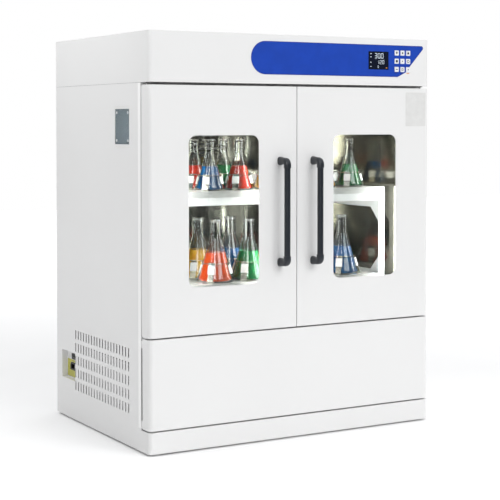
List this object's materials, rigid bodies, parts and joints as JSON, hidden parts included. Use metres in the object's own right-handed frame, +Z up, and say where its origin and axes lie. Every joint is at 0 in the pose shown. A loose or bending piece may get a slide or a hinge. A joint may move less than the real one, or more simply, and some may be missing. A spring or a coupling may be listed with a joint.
{
  "type": "incubated shaker",
  "caption": "Upright incubated shaker: an insulated cabinet with two glazed doors, a control hood and a two-tier orbiting cradle with spring clamps for flasks.",
  "frame": {"origin": "on the floor, under the centre of the outline with the door handles counted", "axes": "+Z up, front with the doors towards -Y, +X to the right as seen from the front"},
  "size_m": [1.17, 0.88, 1.44],
  "materials": {
    "cabinet_paint": "satin",
    "frame_paint": "satin",
    "cradle_paint": "satin",
    "chamber_steel": "satin",
    "tray_steel": "satin",
    "clamp_steel": "bright",
    "foam": "matt",
    "door_foam": "matt",
    "pane": "clear",
    "flask_glass": "clear",
    "gasket_rubber": "matt",
    "handle_plastic": "satin",
    "hinge_steel": "satin",
    "control_film": "satin",
    "display_lens": "gloss",
    "key_plastic": "satin",
    "board": "satin",
    "crank_steel": "machined",
    "housing_iron": "matt",
    "motor_paint": "satin",
    "compressor_paint": "gloss",
    "fin_aluminium": "bright",
    "belt_rubber": "matt",
    "foot_steel": "satin",
    "lamp_diffuser": "matt",
    "fan_plastic": "satin",
    "inlet_plastic": "matt",
    "rocker_plastic": "satin"
  },
  "bodies": {
    "cabinet": {"base_frame": "frame_paint", "left_side_panel": "cabinet_paint", "right_side_panel": "cabinet_paint", "rear_panel": "cabinet_paint", "front_plinth": "cabinet_paint", "lower_front_panel": "cabinet_paint", "hood_shell": "cabinet_paint", "door_frame": "cabinet_paint", "door_hinges": "hinge_steel", "chamber_liner": "chamber_steel", "insulation": "foam", "side_window_trim": "cabinet_paint", "side_window_glass": "pane", "chamber_lamp": "lamp_diffuser", "air_duct_panel": "chamber_steel", "heater": "fin_aluminium", "evaporator": "fin_aluminium", "fan_motors": "motor_paint", "condenser": "fin_aluminium", "compressor": "compressor_paint", "inlet_recess": "cabinet_paint", "power_inlet": "inlet_plastic", "control_board": "board", "control_overlay": "control_film", "display_window": "display_lens", "drive_motor": "motor_paint", "drive_belt": "belt_rubber", "bearing_housings": "housing_iron", "levelling_feet": "foot_steel"},
    "left_door": {"left_door_skin": "cabinet_paint", "left_door_liner": "door_foam", "left_door_glass": "pane", "left_door_gasket": "gasket_rubber", "left_door_handle": "handle_plastic"},
    "right_door": {"right_door_skin": "cabinet_paint", "right_door_liner": "door_foam", "right_door_glass": "pane", "right_door_gasket": "gasket_rubber", "right_door_handle": "handle_plastic"},
    "main_crank": {"crank_shaft": "crank_steel"},
    "platform": {"cradle_frame": "cradle_paint", "lower_tray": "tray_steel", "upper_tray": "tray_steel", "flask_clamps": "clamp_steel", "flasks": "flask_glass"},
    "left_idler": {"left_idler_crank": "crank_steel"},
    "right_idler": {"right_idler_crank": "crank_steel"},
    "motor_rotor": {"motor_pulley": "crank_steel"},
    "circulation_wheel": {"circulation_fan": "fin_aluminium"},
    "cooling_fan": {"condenser_fan": "fan_plastic"},
    "rocker": {"power_switch": "rocker_plastic"},
    "key_1_1": {"key_1_1": "key_plastic"},
    "key_1_2": {"key_1_2": "key_plastic"},
    "key_1_3": {"key_1_3": "key_plastic"},
    "key_2_1": {"key_2_1": "key_plastic"},
    "key_2_2": {"key_2_2": "key_plastic"},
    "key_2_3": {"key_2_3": "key_plastic"},
    "key_3_1": {"key_3_1": "key_plastic"},
    "key_3_2": {"key_3_2": "key_plastic"},
    "key_3_3": {"key_3_3": "key_plastic"}
  },
  "joints": [
    {"name": "left_door_hinge", "type": "hinge", "parent": "cabinet", "child": "left_door", "pos_m": [-0.573, -0.339, 0.83], "axis": [0, 0, 1], "range_deg": [-110, 0]},
    {"name": "right_door_hinge", "type": "hinge", "parent": "cabinet", "child": "right_door", "pos_m": [0.573, -0.339, 0.83], "axis": [0, 0, 1], "range_deg": [0, 110]},
    {"name": "crank_spin", "type": "hinge", "parent": "cabinet", "child": "main_crank", "pos_m": [0, -0.0425, 0.37], "axis": [0, 0, 1], "continuous": true},
    {"name": "platform_pivot", "type": "hinge", "parent": "main_crank", "child": "platform", "pos_m": [0.013, -0.0425, 0.51], "axis": [0, 0, 1], "continuous": true},
    {"name": "left_idler_spin", "type": "hinge", "parent": "cabinet", "child": "left_idler", "pos_m": [-0.3, 0.1175, 0.41], "axis": [0, 0, 1], "continuous": true},
    {"name": "right_idler_spin", "type": "hinge", "parent": "cabinet", "child": "right_idler", "pos_m": [0.3, 0.1175, 0.41], "axis": [0, 0, 1], "continuous": true},
    {"name": "motor_spin", "type": "hinge", "parent": "cabinet", "child": "motor_rotor", "pos_m": [-0.235, -0.0425, 0.26], "axis": [0, 0, 1], "continuous": true},
    {"name": "circulation_fan_spin", "type": "hinge", "parent": "cabinet", "child": "circulation_wheel", "pos_m": [0, 0.36, 1.06], "axis": [0, 1, 0], "continuous": true},
    {"name": "condenser_fan_spin", "type": "hinge", "parent": "cabinet", "child": "cooling_fan", "pos_m": [-0.49, -0.01, 0.174], "axis": [1, 0, 0], "continuous": true},
    {"name": "power_rocker", "type": "hinge", "parent": "cabinet", "child": "rocker", "pos_m": [-0.563, 0.325, 0.236], "axis": [0, 1, 0], "range_deg": [0, 16]},
    {"name": "key_1_1_press", "type": "slide", "parent": "cabinet", "child": "key_1_1", "axis": [0, 1, 0], "range_m": [0, 0.0008], "stiffness_N_per_m": 500, "springref_m": -0.0008},
    {"name": "key_1_2_press", "type": "slide", "parent": "cabinet", "child": "key_1_2", "axis": [0, 1, 0], "range_m": [0, 0.0008], "stiffness_N_per_m": 500, "springref_m": -0.0008},
    {"name": "key_1_3_press", "type": "slide", "parent": "cabinet", "child": "key_1_3", "axis": [0, 1, 0], "range_m": [0, 0.0008], "stiffness_N_per_m": 500, "springref_m": -0.0008},
    {"name": "key_2_1_press", "type": "slide", "parent": "cabinet", "child": "key_2_1", "axis": [0, 1, 0], "range_m": [0, 0.0008], "stiffness_N_per_m": 500, "springref_m": -0.0008},
    {"name": "key_2_2_press", "type": "slide", "parent": "cabinet", "child": "key_2_2", "axis": [0, 1, 0], "range_m": [0, 0.0008], "stiffness_N_per_m": 500, "springref_m": -0.0008},
    {"name": "key_2_3_press", "type": "slide", "parent": "cabinet", "child": "key_2_3", "axis": [0, 1, 0], "range_m": [0, 0.0008], "stiffness_N_per_m": 500, "springref_m": -0.0008},
    {"name": "key_3_1_press", "type": "slide", "parent": "cabinet", "child": "key_3_1", "axis": [0, 1, 0], "range_m": [0, 0.0008], "stiffness_N_per_m": 500, "springref_m": -0.0008},
    {"name": "key_3_2_press", "type": "slide", "parent": "cabinet", "child": "key_3_2", "axis": [0, 1, 0], "range_m": [0, 0.0008], "stiffness_N_per_m": 500, "springref_m": -0.0008},
    {"name": "key_3_3_press", "type": "slide", "parent": "cabinet", "child": "key_3_3", "axis": [0, 1, 0], "range_m": [0, 0.0008], "stiffness_N_per_m": 500, "springref_m": -0.0008}
  ],
  "couplings": [
    {"joint": "platform_pivot", "follows": "crank_spin", "ratio": -1},
    {"joint": "left_idler_spin", "follows": "crank_spin", "ratio": 1},
    {"joint": "right_idler_spin", "follows": "crank_spin", "ratio": 1},
    {"joint": "motor_spin", "follows": "crank_spin", "ratio": 2.5714}
  ]
}
